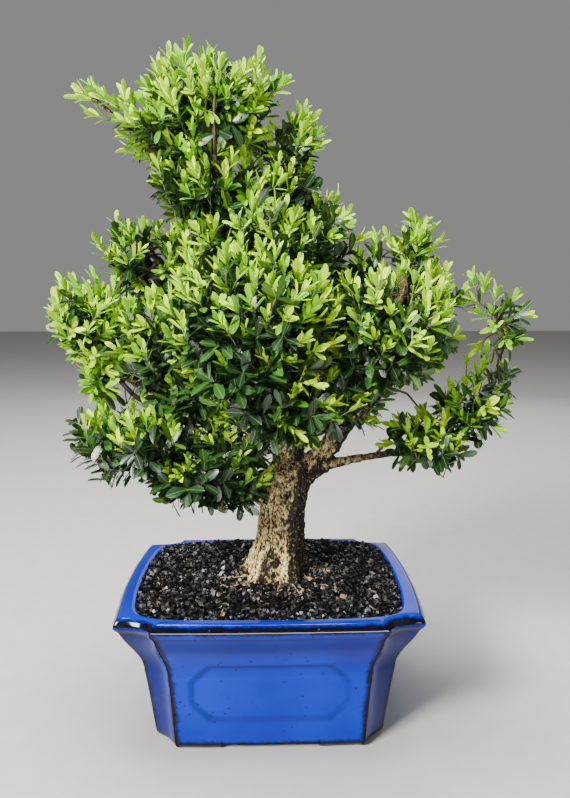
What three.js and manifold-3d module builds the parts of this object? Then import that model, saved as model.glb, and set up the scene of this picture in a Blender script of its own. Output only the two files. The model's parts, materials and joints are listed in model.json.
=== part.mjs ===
// A small-leaved evergreen bonsai in a glazed pot: a rectangular stoneware pot with a rolled lip, notched
// corners, four feet and two screened drain holes; a mounded bed of soil; a flared trunk with its main
// roots; the branches; and one closed solid for the leaf mass that each branch carries.
// Millimetres, +Z up, the front faces -Y. Lengths below are in the pot's own frame, whose origin is under the
// middle of the pot; the finished group is shifted so that its bounding box stands centred on the origin.
import * as THREE from "three";
import { mergeVertices } from "three/addons/utils/BufferGeometryUtils.js";
import Module from "manifold-3d";

// ---- Driving dimensions -------------------------------------------------------------------------
const GAP = 0.4; // clearance between any two pieces that touch

const POT_HEIGHT = 100;
const POT_HALF_WIDTH = 100; // at the corner tips of the rim
const POT_HALF_DEPTH = 83.5; // at the middle of the front lip
const POT_TAPER = 21.5; // how far the front wall comes in from the lip to the base
const SIDE_TAPER_SHARE = 0.96; // the side walls come in by this share of the front wall's
const SIDE_BOW = 4.5; // the side lips bulge this much past the corner tips
const FRONT_BOW = 1.5;
const LIP_HEIGHT = 4; // above this the wall is upright
const COVE_HEIGHT = 42; // the flare under the lip
const COVE_SHARE = 0.7; // the part of the taper that the flare takes
const EDGE_ROUND = 2;
const CORNER_AT_RIM = 25.5; // from the end of the front panel out to the corner's tip
const CORNER_AT_BASE = 15;
const NOTCH_AT_RIM = 12;
const NOTCH_AT_BASE = 17;
const RIM_SIDE = 11; // breadth of the flat rim on the sides
const RIM_FRONT = 9;
const WALL = 7.5; // wall thickness below the lip
const FLOOR = 7;
const FOOT_HEIGHT = 5;
const FOOT_LENGTH = 46;
const FOOT_DEPTH = 36;
const CARTOUCHE_MARGIN = 10.5; // from the sunk octagon to the panel's ends
const CARTOUCHE_TOP = 65; // above the ground
const CARTOUCHE_BOTTOM = 23;
const CARTOUCHE_CHAMFER = 13;
const CARTOUCHE_DEPTH = 1;
const DRAIN_RADIUS = 9;
const DRAIN_SPACING = 76;

const SCREEN_SIDE = 30;
const SCREEN_THICKNESS = 1.2;
const SCREEN_BAR = 2;
const SCREEN_HOLES = 3; // holes along one side
const CLIP_WIRE = 1.4; // wire diameter
const CLIP_FOOT = 9; // length of each bent end under the floor

const SOIL_BELOW_RIM = 4; // at the wall
const SOIL_MOUND = 7.5;
const SOIL_BACK_RISE = 2;

const LIMB_SIDES = 7;
const LIMB_STEPS = 2; // rings of points between two points of a limb
const TRUNK_SIDES = 20;
const LOBES = 5; // ridges where the main roots leave the trunk

// ---- Materials ----------------------------------------------------------------------------------
const paint = (color, roughness) => new THREE.MeshStandardMaterial({ color, roughness, metalness: 0 });
const glaze = paint(0x2f62c4, 0.22);
const soilBlack = paint(0x1c1a19, 0.95);
const bark = paint(0x8a7350, 0.9);
const leafDark = paint(0x2f5a22, 0.5);
const leafLime = paint(0xa8cf3a, 0.5);
const screenBlack = paint(0x202224, 0.7);
const wireMetal = new THREE.MeshStandardMaterial({ color: 0x9a9a94, roughness: 0.4, metalness: 0.8 });

// ---- Solids and meshes --------------------------------------------------------------------------
const wasm = await Module();
wasm.setup();

// A closed three.js geometry as a manifold-3d solid.
function solidFrom(geometry) {
  const bare = geometry.index ? geometry.toNonIndexed() : geometry.clone();
  for (const name of Object.keys(bare.attributes)) {
    if (name !== "position") bare.deleteAttribute(name);
  }
  const merged = mergeVertices(bare, 1e-4);
  return new wasm.Manifold(
    new wasm.Mesh({
      numProp: 3,
      vertProperties: new Float32Array(merged.attributes.position.array),
      triVerts: new Uint32Array(merged.index.array),
    }),
  );
}

function geometryFrom(solid) {
  const mesh = solid.getMesh();
  const geometry = new THREE.BufferGeometry();
  geometry.setAttribute("position", new THREE.BufferAttribute(mesh.vertProperties, 3));
  geometry.setIndex(new THREE.BufferAttribute(mesh.triVerts, 1));
  return geometry;
}

const largestBody = (solid) => solid.decompose().sort((a, b) => b.volume() - a.volume())[0];

const bonsai = new THREE.Group();
function addPart(name, solid, material) {
  const mesh = new THREE.Mesh(geometryFrom(solid), material);
  mesh.name = name;
  bonsai.add(mesh);
}

// A closed solid through rings of points, lowest first, each ring anticlockwise seen from its far end.
function loft(rings) {
  const sides = rings[0].length;
  const vertices = rings.flat();
  const faces = [];
  for (let r = 0; r + 1 < rings.length; r++) {
    for (let i = 0; i < sides; i++) {
      const next = (i + 1) % sides;
      const a = r * sides + i;
      const b = r * sides + next;
      faces.push(a, b, b + sides, a, b + sides, a + sides);
    }
  }
  const middle = (ring) =>
    ring.reduce((sum, point) => sum.add(point), new THREE.Vector3()).divideScalar(ring.length);
  const bottom = vertices.length;
  vertices.push(middle(rings[0]), middle(rings.at(-1)));
  const lastRing = (rings.length - 1) * sides;
  for (let i = 0; i < sides; i++) {
    const next = (i + 1) % sides;
    faces.push(bottom, next, i, bottom + 1, lastRing + i, lastRing + next);
  }
  const geometry = new THREE.BufferGeometry().setFromPoints(vertices);
  geometry.setIndex(faces);
  return solidFrom(geometry);
}

// ---- The pot ------------------------------------------------------------------------------------
const { lerp, smoothstep } = THREE.MathUtils;
const coveTop = POT_HEIGHT - LIP_HEIGHT;
const coveBottom = coveTop - COVE_HEIGHT;

// How far the front wall stands in from the lip at height z.
function wallInset(z) {
  if (z >= coveTop) return 0;
  if (z >= coveBottom) {
    const down = (coveTop - z) / COVE_HEIGHT;
    return POT_TAPER * COVE_SHARE * Math.sin((down * Math.PI) / 2) ** 2;
  }
  const down = Math.min((coveBottom - z) / coveBottom, 1);
  return POT_TAPER * lerp(COVE_SHARE, 1, down ** 0.9);
}

// The four-way mirrored outline whose quarter runs from the +X side to the +Y side.
function mirrored(quarter) {
  const onAxes = { first: quarter[0], last: quarter.at(-1) };
  const between = quarter.slice(1, -1);
  const flip = (points, sx, sy) => points.map(([x, y]) => [x * sx, y * sy]);
  return [
    onAxes.first,
    ...between,
    onAxes.last,
    ...flip(between, -1, 1).reverse(),
    ...flip([onAxes.first], -1, 1),
    ...flip(between, -1, -1),
    ...flip([onAxes.last], 1, -1),
    ...flip(between, 1, -1).reverse(),
  ];
}

// The pot's outside at height z, drawn in by extra all round.
function outerOutline(z, extra = 0) {
  const inset = wallInset(z);
  const down = 1 - z / POT_HEIGHT;
  const tipX = POT_HALF_WIDTH - SIDE_TAPER_SHARE * inset - extra;
  const front = POT_HALF_DEPTH - inset - extra;
  const notch = lerp(NOTCH_AT_RIM, NOTCH_AT_BASE, down);
  const tipY = front - notch;
  const panelX = tipX - lerp(CORNER_AT_RIM, CORNER_AT_BASE, inset / POT_TAPER);
  const bow = SIDE_BOW - 0.15 * inset;
  const square = lerp(2, 1.25, smoothstep(down, 0, 0.8)); // 1 is a flat chamfer, more is a squarer notch
  const side = [0, 1 / 3, 2 / 3, 1].map((t) => [tipX + bow * (1 - t * t), tipY * t]);
  const scoop = [0.2, 0.45, 0.7, 0.88].map((t) => [
    tipX - (tipX - panelX) * (1 - Math.pow(1 - t, square)),
    tipY + notch * Math.pow(t, square),
  ]);
  const panel = [1, 0.5, 0].map((t) => [panelX * t, front - FRONT_BOW * t * t]);
  return mirrored([...side, ...scoop, ...panel]);
}

// The cavity at height z, drawn in by extra all round.
function innerOutline(z, extra = 0) {
  const inset = wallInset(z);
  const belowLip = smoothstep(inset, 0, POT_TAPER * COVE_SHARE);
  const sideRim = lerp(RIM_SIDE, WALL + 2, belowLip);
  const frontRim = lerp(RIM_FRONT, WALL, belowLip);
  const halfX = POT_HALF_WIDTH + SIDE_BOW - sideRim - 0.95 * inset - extra;
  const halfY = POT_HALF_DEPTH - frontRim - inset - extra;
  const quarter = [
    [1, 0],
    [0.99, 0.4],
    [0.96, 0.72],
    [0.92, 0.86],
    [0.82, 0.945],
    [0.6, 0.985],
    [0.3, 0.997],
    [0, 1],
  ];
  return mirrored(quarter.map(([x, y]) => [x * halfX, y * halfY]));
}

const ringAt = (outline, z) => outline.map(([x, y]) => new THREE.Vector3(x, y, z));
const block = (x0, x1, y0, y1, z0, z1) =>
  solidFrom(
    new THREE.BoxGeometry(x1 - x0, y1 - y0, z1 - z0).translate((x0 + x1) / 2, (y0 + y1) / 2, (z0 + z1) / 2),
  );
const drillFrom = (radius, z0, z1, x) =>
  solidFrom(
    new THREE.CylinderGeometry(radius, radius, z1 - z0, 24)
      .rotateX(Math.PI / 2)
      .translate(x, 0, (z0 + z1) / 2),
  );

const floorTop = FOOT_HEIGHT + FLOOR;
const flareLevels = [0, 0.25, 0.5, 0.75, 0.93].map((t) => coveBottom + COVE_HEIGHT * t);
const wallLevels = [FOOT_HEIGHT + 12, coveBottom - 18, ...flareLevels];

// The pot as a solid block with no cavity, drawn in by extra all round.
const potBlock = (extra = 0) =>
  loft([
    ringAt(outerOutline(0, extra + EDGE_ROUND), 0),
    ringAt(outerOutline(EDGE_ROUND, extra), EDGE_ROUND),
    ...wallLevels.map((z) => ringAt(outerOutline(z, extra), z)),
    ringAt(outerOutline(coveTop, extra), coveTop),
    ringAt(outerOutline(POT_HEIGHT - EDGE_ROUND, extra), POT_HEIGHT - EDGE_ROUND),
    ringAt(outerOutline(POT_HEIGHT, extra + EDGE_ROUND / 2), POT_HEIGHT),
  ]);

function makePot() {
  const cavity = loft([
    ringAt(innerOutline(floorTop), floorTop),
    ...wallLevels.map((z) => ringAt(innerOutline(z), z)),
    ringAt(innerOutline(coveTop), coveTop),
    ringAt(innerOutline(POT_HEIGHT), POT_HEIGHT + 1),
  ]);
  const reach = POT_HALF_WIDTH + SIDE_BOW;
  const archX = POT_HALF_WIDTH - SIDE_TAPER_SHARE * POT_TAPER - FOOT_LENGTH;
  const archY = POT_HALF_DEPTH - POT_TAPER - FOOT_DEPTH;
  const underside = [
    block(-archX, archX, -reach, reach, -1, FOOT_HEIGHT),
    block(-reach, reach, -archY, archY, -1, FOOT_HEIGHT),
  ];
  const drains = [-1, 1].map((side) => drillFrom(DRAIN_RADIUS, -1, floorTop + 1, (side * DRAIN_SPACING) / 2));
  let pot = potBlock().subtract(cavity);
  for (const cut of [...underside, ...drains, makeCartouches()]) pot = pot.subtract(cut);
  return pot;
}

// The long octagons sunk in the front and back panels: what an octagonal bar through the whole pot would take
// away if it stopped at CARTOUCHE_DEPTH inside each panel.
function makeCartouches() {
  const right = POT_HALF_WIDTH - SIDE_TAPER_SHARE * POT_TAPER - CORNER_AT_BASE - CARTOUCHE_MARGIN;
  const corner = CARTOUCHE_CHAMFER;
  const shape = new THREE.Shape([
    new THREE.Vector2(-right, CARTOUCHE_BOTTOM + corner),
    new THREE.Vector2(-right + corner, CARTOUCHE_BOTTOM),
    new THREE.Vector2(right - corner, CARTOUCHE_BOTTOM),
    new THREE.Vector2(right, CARTOUCHE_BOTTOM + corner),
    new THREE.Vector2(right, CARTOUCHE_TOP - corner),
    new THREE.Vector2(right - corner, CARTOUCHE_TOP),
    new THREE.Vector2(-right + corner, CARTOUCHE_TOP),
    new THREE.Vector2(-right, CARTOUCHE_TOP - corner),
  ]);
  const bar = new THREE.ExtrudeGeometry(shape, { depth: 2 * POT_HALF_DEPTH, bevelEnabled: false })
    .rotateX(Math.PI / 2)
    .translate(0, POT_HALF_DEPTH, 0);
  return solidFrom(bar).subtract(potBlock(CARTOUCHE_DEPTH));
}

// ---- Drain screens and their wire clips ---------------------------------------------------------
const screenPitch = (SCREEN_SIDE - SCREEN_BAR) / SCREEN_HOLES;
const screenBottom = floorTop + GAP;

// A square plate with square holes.
function makeScreen(x) {
  const half = SCREEN_SIDE / 2;
  const top = screenBottom + SCREEN_THICKNESS;
  const size = screenPitch - SCREEN_BAR;
  let screen = block(x - half, x + half, -half, half, screenBottom, top);
  for (let row = 0; row < SCREEN_HOLES; row++) {
    for (let column = 0; column < SCREEN_HOLES; column++) {
      const x0 = x - half + SCREEN_BAR + column * screenPitch;
      const y0 = -half + SCREEN_BAR + row * screenPitch;
      screen = screen.subtract(block(x0, x0 + size, y0, y0 + size, screenBottom - 1, top + 1));
    }
  }
  return screen;
}

// One staple of wire: across the screen, down through two of its holes and the drain, and bent out below.
function makeClip(x, extra = 0) {
  const radius = CLIP_WIRE / 2;
  const legX = DRAIN_RADIUS - radius - 2 * GAP;
  const footX = DRAIN_RADIUS + CLIP_FOOT;
  const top = screenBottom + SCREEN_THICKNESS + radius + GAP;
  const under = FOOT_HEIGHT - radius - GAP;
  const bends = [
    [-footX, under],
    [-legX, under],
    [-legX, top],
    [legX, top],
    [legX, under],
    [footX, under],
  ];
  const stations = bends.map(([px, z]) => ({
    point: new THREE.Vector3(x + px, 0, z),
    radius: radius + extra,
  }));
  return pathTube(stations, 6);
}

// ---- Tapered wood -------------------------------------------------------------------------------
// A closed tube through stations {point, radius} with straight runs between them.
function pathTube(stations, sides) {
  const directions = stations.map((station, i) => {
    const before = stations[Math.max(i - 1, 0)].point;
    const after = stations[Math.min(i + 1, stations.length - 1)].point;
    const into = new THREE.Vector3().subVectors(station.point, before).normalize();
    const out = new THREE.Vector3().subVectors(after, station.point).normalize();
    return into.add(out).normalize();
  });
  let normal = new THREE.Vector3(0.31, 0.83, 0.46).cross(directions[0]).normalize();
  const rings = stations.map(({ point, radius }, i) => {
    normal = normal.clone().projectOnPlane(directions[i]).normalize();
    const across = new THREE.Vector3().crossVectors(directions[i], normal);
    return Array.from({ length: sides }, (_, k) => {
      const angle = (k / sides) * 2 * Math.PI;
      return point
        .clone()
        .addScaledVector(normal, radius * Math.cos(angle))
        .addScaledVector(across, radius * Math.sin(angle));
    });
  });
  return loft(rings);
}

// A tapered limb on a smooth curve through points [x, y, height above the rim, radius].
function limbSolid(points, extra = 0, sides = LIMB_SIDES) {
  const curve = new THREE.CatmullRomCurve3(
    points.map(([x, y, z]) => new THREE.Vector3(x, y, POT_HEIGHT + z)),
  );
  const count = (points.length - 1) * LIMB_STEPS;
  const stations = Array.from({ length: count + 1 }, (_, i) => {
    const at = (i / count) * (points.length - 1);
    const k = Math.min(Math.floor(at), points.length - 2);
    return { point: curve.getPoint(i / count), radius: lerp(points[k][3], points[k + 1][3], at - k) + extra };
  });
  return pathTube(stations, sides);
}

// ---- The trunk ----------------------------------------------------------------------------------
// The trunk's axis and radius, [x, y, height above the rim, radius], and how far its root ridges stand out.
const TRUNK = [
  [3, 0, -16, 20, 0.3],
  [4, 0, -6, 25, 0.28],
  [5, 0, 3, 23.5, 0.22],
  [6, 0, 12, 20.5, 0.13],
  [8, 0, 28, 17.8, 0.07],
  [9, 0, 48, 16.6, 0.05],
  [12, 0, 65, 17.2, 0.05],
  [15, 0, 79, 17, 0.06],
  [16, 1, 88, 13, 0.06],
];
const ROOT_REACH = 46; // how far the main roots run out from the trunk, under the soil
const ROOT_DEPTH = 34;

function makeTrunk(extra = 0) {
  const rings = TRUNK.map(([x, y, z, radius, ridge]) =>
    Array.from({ length: TRUNK_SIDES }, (_, k) => {
      const angle = (k / TRUNK_SIDES) * 2 * Math.PI;
      const r = radius * (1 + ridge * Math.cos(LOBES * angle - 1.1)) + extra;
      return new THREE.Vector3(x + r * Math.cos(angle), y + r * Math.sin(angle), POT_HEIGHT + z);
    }),
  );
  rings[0].forEach((point) => (point.z -= extra));
  rings.at(-1).forEach((point) => (point.z += extra));
  let trunk = loft(rings);
  const [x, y, z] = TRUNK[1];
  for (let i = 0; i < LOBES; i++) {
    const angle = (i / LOBES) * 2 * Math.PI + 1.1 / LOBES;
    const along = (reach, down, radius) => [
      x + reach * Math.cos(angle),
      y + reach * 0.8 * Math.sin(angle),
      z - down,
      radius,
    ];
    const root = [along(8, 4, 8), along(24, 8, 6), along(36, 18, 4), along(ROOT_REACH, ROOT_DEPTH, 2)];
    trunk = trunk.add(limbSolid(root, extra, 6));
  }
  return trunk;
}

// ---- Soil ---------------------------------------------------------------------------------------
const soilHeight = (x, y) => {
  const mound = SOIL_MOUND * Math.exp(-((x / 72) ** 2) - ((y - 10) / 58) ** 2);
  return POT_HEIGHT - SOIL_BELOW_RIM + mound + (SOIL_BACK_RISE * y) / POT_HALF_DEPTH;
};

// A box under the soil's mounded top, wider than the pot.
function soilTerrain(columns = 12, rows = 10) {
  const reachX = POT_HALF_WIDTH + SIDE_BOW;
  const reachY = POT_HALF_DEPTH;
  const geometry = new THREE.BoxGeometry(2 * reachX, 2 * reachY, 2, columns, rows, 1);
  const position = geometry.attributes.position;
  for (let i = 0; i < position.count; i++) {
    const x = position.getX(i);
    const y = position.getY(i);
    position.setZ(i, position.getZ(i) > 0 ? soilHeight(x, y) : floorTop - 1);
  }
  return solidFrom(geometry);
}

function makeSoil(cuts) {
  const soilBottom = floorTop + GAP;
  const filling = loft([
    ringAt(innerOutline(soilBottom, GAP), soilBottom),
    ...wallLevels.map((z) => ringAt(innerOutline(z, GAP), z)),
    ringAt(innerOutline(coveTop, GAP), coveTop),
    ringAt(innerOutline(POT_HEIGHT, GAP), POT_HEIGHT + SOIL_MOUND),
  ]);
  let soil = filling.intersect(soilTerrain());
  for (const cut of cuts) soil = soil.subtract(cut);
  return largestBody(soil);
}

// ---- Branches -----------------------------------------------------------------------------------
// Each is [x, y, height above the rim, radius] along its length, starting inside the wood it grows from.
const BRANCHES = {
  leader: [
    [14, 1, 76, 13],
    [14, 4, 100, 11.5],
    [10, 6, 136, 10],
    [-6, 6, 180, 8.5],
    [-24, 4, 230, 6.8],
    [-38, 0, 275, 5.2],
    [-42, -2, 318, 3.8],
    [-42, -2, 350, 2],
  ],
  right_limb: [
    [12, 0, 66, 13],
    [29, -2, 82, 10],
    [43, -4, 98, 8],
    [59, -5, 121, 6.4],
    [76, -3, 150, 5.6],
    [89, 0, 182, 4.8],
    [97, 2, 212, 4],
    [103, 4, 242, 2],
  ],
  low_right_branch: [
    [26, -3, 76, 7],
    [46, -6, 86, 4],
    [68, -9, 91, 3],
    [94, -13, 96, 2.6],
    [119, -15, 104, 2.4],
    [146, -15, 120, 2.2],
    [160, -12, 150, 1.9],
    [167, -10, 190, 1.5],
  ],
  low_left_branch: [
    [6, -5, 58, 7],
    [-18, -14, 67, 5.4],
    [-48, -22, 71, 4.4],
    [-80, -24, 80, 3.4],
    [-112, -22, 94, 2.2],
  ],
  middle_left_branch: [
    [14, 4, 112, 8],
    [-20, 0, 126, 6.2],
    [-58, -4, 134, 5],
    [-92, -4, 144, 4],
    [-114, -2, 162, 3],
    [-128, 0, 192, 1.8],
  ],
  upper_left_branch: [
    [-2, 6, 168, 6],
    [-36, 2, 196, 4.4],
    [-68, 0, 220, 3.2],
    [-92, 0, 248, 1.8],
  ],
  apex_left_branch: [
    [-36, 0, 268, 4.4],
    [-58, -4, 286, 3.4],
    [-84, -6, 308, 2.4],
    [-118, -8, 338, 1.5],
  ],
  apex_right_branch: [
    [-22, 4, 224, 5],
    [-2, 6, 250, 4],
    [16, 6, 280, 3],
    [20, 6, 310, 1.8],
  ],
  crown_right_branch: [
    [6, 6, 146, 6.5],
    [26, 0, 184, 5],
    [40, -4, 222, 3.8],
    [46, -4, 262, 2],
  ],
  front_branch: [
    [14, 2, 104, 7],
    [4, -30, 126, 5],
    [-6, -60, 158, 3.8],
    [-10, -76, 196, 2],
  ],
  right_front_branch: [
    [42, -4, 112, 6.5],
    [66, -30, 132, 4.8],
    [88, -44, 162, 3.4],
    [98, -46, 190, 1.8],
  ],
  back_branch: [
    [14, 4, 106, 7.5],
    [6, 36, 132, 5.4],
    [-4, 64, 168, 4],
    [-6, 82, 212, 2],
  ],
  back_left_branch: [
    [8, 24, 122, 5],
    [-26, 44, 140, 4],
    [-58, 58, 162, 2.8],
    [-72, 62, 192, 1.7],
  ],
  back_right_branch: [
    [44, -4, 114, 6],
    [66, 24, 132, 4.8],
    [86, 46, 156, 3.4],
    [96, 54, 190, 1.8],
  ],
};

// All the wood as one solid, grown by extra all round.
const makeWood = (extra = 0) =>
  Object.values(BRANCHES).reduce((wood, points) => wood.add(limbSolid(points, extra)), makeTrunk(extra));

// ---- Leaf masses --------------------------------------------------------------------------------
// Each is a cluster of rounded lumps round the end of a branch:
// [x, y, height above the rim, half width, half depth, half height].
const LEAF_MASSES = {
  apex_leaves: [
    [-35, 0, 332, 46, 44, 34],
    [-12, 0, 339, 24, 30, 24],
    [-58, 0, 338, 26, 32, 24],
    [-74, -4, 320, 25, 28, 18],
    [-50, 4, 308, 37, 38, 22],
    [-96, -6, 330, 15, 9, 7],
    [-117, -8, 337, 10, 9, 8],
  ],
  apex_right_leaves: [
    [14, 4, 306, 19, 30, 30],
    [10, 2, 280, 24, 32, 24],
  ],
  neck_leaves: [
    [-40, 0, 280, 40, 40, 24],
    [-8, 0, 272, 31, 38, 22],
  ],
  upper_left_leaves: [
    [-89, 0, 234, 24, 30, 23],
    [-66, 2, 230, 26, 32, 22],
  ],
  left_tip_leaves: [
    [-127, 0, 191, 26, 33, 25],
    [-116, -2, 170, 24, 28, 18],
    [-118, -8, 148, 14, 18, 15],
  ],
  middle_left_leaves: [
    [-74, -24, 176, 28, 36, 30],
    [-50, -22, 146, 28, 36, 24],
  ],
  low_left_leaves: [
    [-84, -24, 109, 48, 40, 20],
    [-48, -32, 88, 32, 34, 22],
    [-112, -16, 114, 22, 28, 17],
    [-26, -34, 104, 24, 24, 24],
    [-20, -30, 78, 16, 20, 18],
  ],
  crown_leaves: [
    [-4, -4, 238, 56, 54, 32],
    [38, -4, 245, 24, 36, 28],
    [-36, 0, 226, 38, 46, 30],
  ],
  front_leaves: [
    [-10, -64, 188, 54, 40, 46],
    [12, -54, 142, 44, 33, 27],
  ],
  right_upper_leaves: [
    [100, 2, 238, 18, 28, 26],
    [76, 2, 214, 32, 38, 26],
    [116, 4, 212, 20, 26, 24],
  ],
  right_front_leaves: [
    [82, -46, 186, 44, 40, 36],
    [60, -40, 162, 32, 32, 20],
  ],
  right_low_leaves: [
    [110, -16, 105, 30, 30, 16],
    [142, -15, 130, 23, 26, 18],
    [158, -13, 154, 14, 18, 16],
  ],
  right_tip_leaves: [
    [162, -11, 178, 13, 16, 18],
    [171, -10, 200, 10, 12, 14],
    [150, -12, 201, 9, 12, 22],
  ],
  back_leaves: [
    [-4, 68, 202, 54, 42, 48],
    [8, 60, 158, 46, 34, 26],
  ],
  back_left_leaves: [
    [-66, 54, 192, 38, 38, 34],
    [-44, 48, 156, 32, 32, 22],
  ],
  back_right_leaves: [
    [84, 48, 188, 44, 40, 36],
    [64, 38, 154, 32, 32, 20],
    [68, 36, 126, 18, 20, 18],
  ],
};
const LUMP_DETAIL = 1;

function leafSolid(lumps, extra = 0) {
  const solids = lumps.map(([x, y, z, rx, ry, rz]) =>
    solidFrom(
      new THREE.IcosahedronGeometry(1, LUMP_DETAIL)
        .scale(rx + extra, ry + extra, rz + extra)
        .translate(x, y, POT_HEIGHT + z),
    ),
  );
  return solids.reduce((all, lump) => all.add(lump));
}

// ---- Assembly -----------------------------------------------------------------------------------
addPart("pot", makePot(), glaze);
const screenCuts = [];
for (const [side, sign] of [
  ["left", -1],
  ["right", 1],
]) {
  const x = (sign * DRAIN_SPACING) / 2;
  addPart(`${side}_drain_screen`, makeScreen(x), screenBlack);
  addPart(`${side}_screen_clip`, makeClip(x), wireMetal);
  const half = SCREEN_SIDE / 2 + GAP;
  const top = screenBottom + SCREEN_THICKNESS + GAP;
  screenCuts.push(block(x - half, x + half, -half, half, floorTop - 1, top), makeClip(x, GAP));
}

addPart("trunk_and_branches", makeWood(), bark);
const clearOfWood = makeWood(GAP);
addPart("soil", makeSoil([clearOfWood, ...screenCuts]), soilBlack);

// Each leaf mass gives way to the wood and to the leaf masses before it.
const taken = [clearOfWood];
for (const [name, lumps] of Object.entries(LEAF_MASSES)) {
  const leaves = taken.reduce((solid, other) => solid.subtract(other), leafSolid(lumps));
  addPart(name, largestBody(leaves), name.startsWith("back") ? leafDark : leafLime);
  taken.push(leafSolid(lumps, GAP));
}

const bounds = new THREE.Box3().setFromObject(bonsai);
const centre = bounds.getCenter(new THREE.Vector3());
bonsai.position.set(-centre.x, -centre.y, -bounds.min.z);

export default bonsai;
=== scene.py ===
"""The looks of the bonsai: glazed pot, grit, barked wood, twigs and leaves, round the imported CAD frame.

Metres, +Z up, the front faces -Y.
"""

import json
import math
from itertools import product

import bpy
import numpy as np
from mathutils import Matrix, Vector, noise
from mathutils.bvhtree import BVHTree


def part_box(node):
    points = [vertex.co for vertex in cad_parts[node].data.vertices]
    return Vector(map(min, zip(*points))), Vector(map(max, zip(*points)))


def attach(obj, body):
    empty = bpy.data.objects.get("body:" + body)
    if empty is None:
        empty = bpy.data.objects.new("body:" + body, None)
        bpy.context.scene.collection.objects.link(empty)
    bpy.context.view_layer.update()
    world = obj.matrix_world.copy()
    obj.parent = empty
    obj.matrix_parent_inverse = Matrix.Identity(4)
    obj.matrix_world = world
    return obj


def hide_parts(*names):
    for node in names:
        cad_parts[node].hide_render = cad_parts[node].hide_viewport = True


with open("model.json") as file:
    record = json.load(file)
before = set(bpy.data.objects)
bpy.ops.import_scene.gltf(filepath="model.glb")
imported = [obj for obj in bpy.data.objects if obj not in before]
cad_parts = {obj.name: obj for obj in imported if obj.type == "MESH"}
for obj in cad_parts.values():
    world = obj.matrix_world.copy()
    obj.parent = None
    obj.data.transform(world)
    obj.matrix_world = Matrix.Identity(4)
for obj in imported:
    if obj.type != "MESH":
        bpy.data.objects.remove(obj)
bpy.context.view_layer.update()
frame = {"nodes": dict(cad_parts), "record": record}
MM = 0.001

# ---- The pot's place and sizes, from the frame ---------------------------------------------------
pot_low, pot_high = np.array(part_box("pot"))
POT_CENTRE = (pot_low + pot_high) / 2
POT_HEIGHT = pot_high[2]
HALF_X = (pot_high[0] - pot_low[0]) / 2  # at the middle of the side lips
HALF_Y = (pot_high[1] - pot_low[1]) / 2  # at the middle of the front lip


def cad(name):
    """The mesh of a CAD node, which is only read."""
    return frame["nodes"][name].data


def add_object(name, data):
    added = bpy.data.objects.new(name, data)
    bpy.context.collection.objects.link(added)
    return added


# ---- Camera, light and floor ---------------------------------------------------------------------
CAMERA_LENS = 32.5
CAMERA_LEFT = 0.002  # of the pot's centre
CAMERA_BACK = 0.514  # from the pot's centre
CAMERA_HEIGHT = 0.305
CAMERA_TILT = 8.06  # degrees down
CAMERA_TURN = 1.5  # degrees to the right
FLOOR_REACH = 6.0


def make_camera():
    camera = add_object("camera", bpy.data.cameras.new("camera"))
    camera.data.lens = CAMERA_LENS
    camera.data.sensor_width = 36
    camera.data.clip_start = 0.01
    camera.location = (POT_CENTRE[0] - CAMERA_LEFT, POT_CENTRE[1] - CAMERA_BACK, CAMERA_HEIGHT)
    camera.rotation_euler = (math.radians(90 - CAMERA_TILT), 0, math.radians(-CAMERA_TURN))
    bpy.context.scene.camera = camera


def area_light(name, place, size, watts, colour, target=(0, 0, 0.25), height=None):
    """A square light of the given size, or a flat one where height is given, turned to the target."""
    data = bpy.data.lights.new(name, "AREA")
    data.size = size
    if height:
        data.shape = "RECTANGLE"
        data.size_y = height
    data.energy = watts
    data.color = colour
    light = add_object(name, data)
    light.location = place
    light.rotation_euler = (Vector(target) - Vector(place)).to_track_quat("-Z", "Y").to_euler()
    return light


def make_lights():
    white, warm, cool, pale_blue = (1.0, 1.0, 1.0), (1.0, 0.98, 0.94), (0.93, 0.96, 1.0), (0.95, 0.97, 1.0)
    area_light("key", (-1.1, -1.2, 1.25), 0.5, 104, warm)
    area_light("fill", (1.3, -0.9, 0.8), 1.4, 3, cool)
    area_light("top", (-0.1, 0.0, 1.7), 0.8, 46, white)
    area_light("back", (0.3, 1.4, 0.9), 1.2, 7, pale_blue)
    # Seen only in the glaze, as a highlight along the lip.
    strip = area_light("strip", (0, -0.75, 0.31), 0.6, 7, white, target=(0, 0, 0.1), height=0.10)
    strip.visible_diffuse = False
    world = bpy.data.worlds.new("studio")
    world.use_nodes = True
    background = world.node_tree.nodes["Background"]
    background.inputs["Color"].default_value = (0.80, 0.80, 0.79, 1)
    background.inputs["Strength"].default_value = 0.32
    bpy.context.scene.world = world


def make_floor():
    mesh = bpy.data.meshes.new("floor")
    corners = [(x * FLOOR_REACH, y * FLOOR_REACH, 0) for x, y in ((-1, -1), (1, -1), (1, 1), (-1, 1))]
    mesh.from_pydata(corners, [], [(0, 1, 2, 3)])
    floor = add_object("floor", mesh)
    look = Look("floor")
    grain = look.noise(scale=60, detail=4)
    pale = look.ramp(grain, [(0.3, (0.43, 0.425, 0.41)), (0.7, (0.46, 0.455, 0.44))])
    look.set(base_color=pale, roughness=0.8)
    floor.data.materials.append(look.material)


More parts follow.
